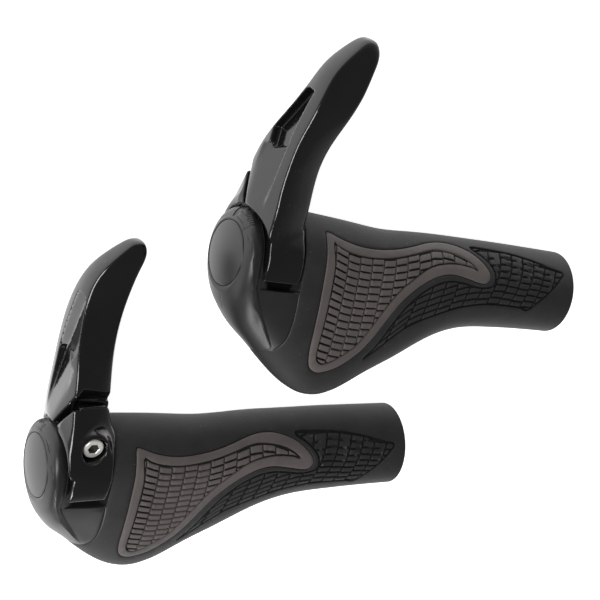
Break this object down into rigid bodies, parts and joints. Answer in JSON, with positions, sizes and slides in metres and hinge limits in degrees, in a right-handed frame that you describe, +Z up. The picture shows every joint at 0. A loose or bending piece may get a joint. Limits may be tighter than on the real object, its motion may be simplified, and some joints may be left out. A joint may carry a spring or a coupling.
{
  "type": "bar end grips",
  "caption": "Pair of ergonomic rubber handlebar grips with palm wings, grey inlays and clamp-on horn-shaped bar ends with one socket-head bolt each.",
  "frame": {"origin": "middle of the pair's footprint, on the table", "axes": "+Z up from the table; +X along the right grip's bar axis, from its outer end inboard; the bar-end horns point towards +Y"},
  "size_m": [0.2212, 0.237, 0.0484],
  "materials": {
    "black_rubber": "matte, fine grain",
    "grey_rubber": "matte, warm grey",
    "black_plastic": "satin moulded",
    "cap_plastic": "satin moulded",
    "gloss_black_paint": "glossy black over cast alloy",
    "stainless_steel": "bright turned steel"
  },
  "bodies": {
    "right_grip": {"right_end_housing": "black_plastic", "right_core_tube": "black_plastic", "right_palm_support": "black_plastic", "right_grip_sleeve": "black_rubber", "right_inlay_bolt_side": "grey_rubber", "right_inlay_plain_side": "grey_rubber"},
    "right_horn": {"right_horn": "gloss_black_paint", "right_thread_insert": "stainless_steel"},
    "right_bolt": {"right_clamp_bolt": "stainless_steel"},
    "right_plug": {"right_end_plug": "cap_plastic"},
    "left_grip": {"left_end_housing": "black_plastic", "left_core_tube": "black_plastic", "left_palm_support": "black_plastic", "left_grip_sleeve": "black_rubber", "left_inlay_bolt_side": "grey_rubber", "left_inlay_plain_side": "grey_rubber"},
    "left_horn": {"left_horn": "gloss_black_paint", "left_thread_insert": "stainless_steel"},
    "left_bolt": {"left_clamp_bolt": "stainless_steel"},
    "left_plug": {"left_end_plug": "cap_plastic"}
  },
  "joints": [
    {"name": "right_horn_turn", "type": "hinge", "parent": "right_grip", "child": "right_horn", "pos_m": [-0.09296, -0.06619, 0.02594], "axis": [0.999, 0, -0.0443], "range_deg": [-17.5, 10.5]},
    {"name": "right_bolt_turn", "type": "hinge", "parent": "right_horn", "child": "right_bolt", "pos_m": [-0.09255, -0.04972, 0.03516], "axis": [0.0443, -0.0379, 0.9983], "continuous": true},
    {"name": "right_plug_pull", "type": "slide", "parent": "right_grip", "child": "right_plug", "axis": [-0.999, 0, 0.0443], "range_m": [0, 0.02]},
    {"name": "left_horn_turn", "type": "hinge", "parent": "left_grip", "child": "left_horn", "pos_m": [-0.03335, 0.028, 0.02404], "axis": [0.9896, -0.1361, -0.0462], "range_deg": [-17.5, 10.5]},
    {"name": "left_bolt_turn", "type": "hinge", "parent": "left_horn", "child": "left_bolt", "pos_m": [-0.03222, 0.0409, 0.01031], "axis": [-0.0889, -0.3269, -0.9409], "continuous": true},
    {"name": "left_plug_pull", "type": "slide", "parent": "left_grip", "child": "left_plug", "axis": [-0.9896, 0.1361, 0.0462], "range_m": [0, 0.02]},
    {"name": "left_grip_apart", "type": "slide", "parent": "right_grip", "child": "left_grip", "axis": [0, 1, 0], "range_m": [0, 0.08]}
  ]
}
